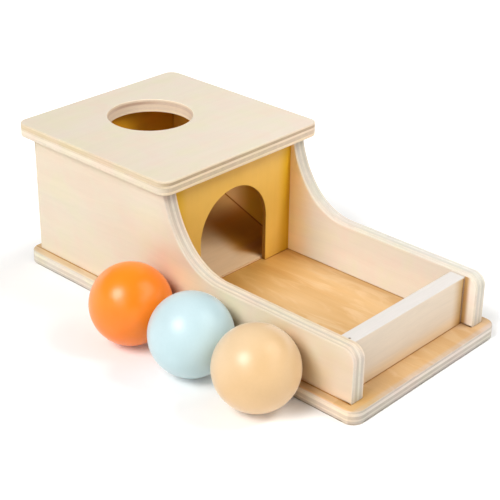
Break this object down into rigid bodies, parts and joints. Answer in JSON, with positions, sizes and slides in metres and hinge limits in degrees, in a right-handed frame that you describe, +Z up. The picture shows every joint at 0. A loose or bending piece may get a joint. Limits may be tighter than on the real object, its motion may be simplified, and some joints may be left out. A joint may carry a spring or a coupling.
{
  "type": "object permanence box",
  "caption": "Wooden baby toy: a ball dropped through the hole in the lid rolls down an inner ramp and out of an arched doorway into an open tray.",
  "frame": {"origin": "middle of the base plate's underside, which stands on the floor", "axes": "+X along the box towards the tray's end, +Y towards the left side panel, +Z up; the loose balls stand in a row on the -Y side"},
  "size_m": [0.2811, 0.1823, 0.098],
  "materials": {
    "birch_plywood": "smooth clear matt lacquer on pale birch plywood, plies showing at the edges",
    "honey_plywood": "satin honey-coloured veneer on top, pale and grey-brown plies at the edges",
    "light_hardwood": "smooth clear matt lacquer on whitish solid wood",
    "mustard_paint": "satin mustard-yellow paint on thin board",
    "ramp_plywood": "bare thin plywood",
    "pine_strip": "bare planed strip",
    "beech_dowel": "bare beech",
    "zinc_screw": "zinc-plated steel",
    "orange_gloss": "glossy orange paint on a turned wooden ball",
    "blue_gloss": "glossy pale blue paint on a turned wooden ball",
    "cream_gloss": "glossy cream-peach paint on a turned wooden ball"
  },
  "bodies": {
    "box": {"base_plate": "honey_plywood", "left_side_panel": "birch_plywood", "right_side_panel": "birch_plywood", "back_panel": "birch_plywood", "arch_panel": "mustard_paint", "lid": "birch_plywood", "ramp": "ramp_plywood", "ramp_rear_cleat": "pine_strip", "ramp_left_cleat": "pine_strip", "ramp_right_cleat": "pine_strip", "tray_end_board": "light_hardwood", "lid_dowels": "beech_dowel", "back_panel_dowels": "beech_dowel", "tray_end_dowels": "beech_dowel", "base_screws": "zinc_screw"},
    "ball_orange": {"ball_orange": "orange_gloss"},
    "ball_blue": {"ball_blue": "blue_gloss"},
    "ball_cream": {"ball_cream": "cream_gloss"}
  },
  "joints": [
    {"name": "lift_orange_ball", "type": "slide", "parent": "box", "child": "ball_orange", "axis": [0, -0.3, 0.9539], "range_m": [0, 0.15]},
    {"name": "lift_blue_ball", "type": "slide", "parent": "box", "child": "ball_blue", "axis": [0, -0.3, 0.9539], "range_m": [0, 0.15]},
    {"name": "lift_cream_ball", "type": "slide", "parent": "box", "child": "ball_cream", "axis": [0, -0.3, 0.9539], "range_m": [0, 0.15]}
  ]
}
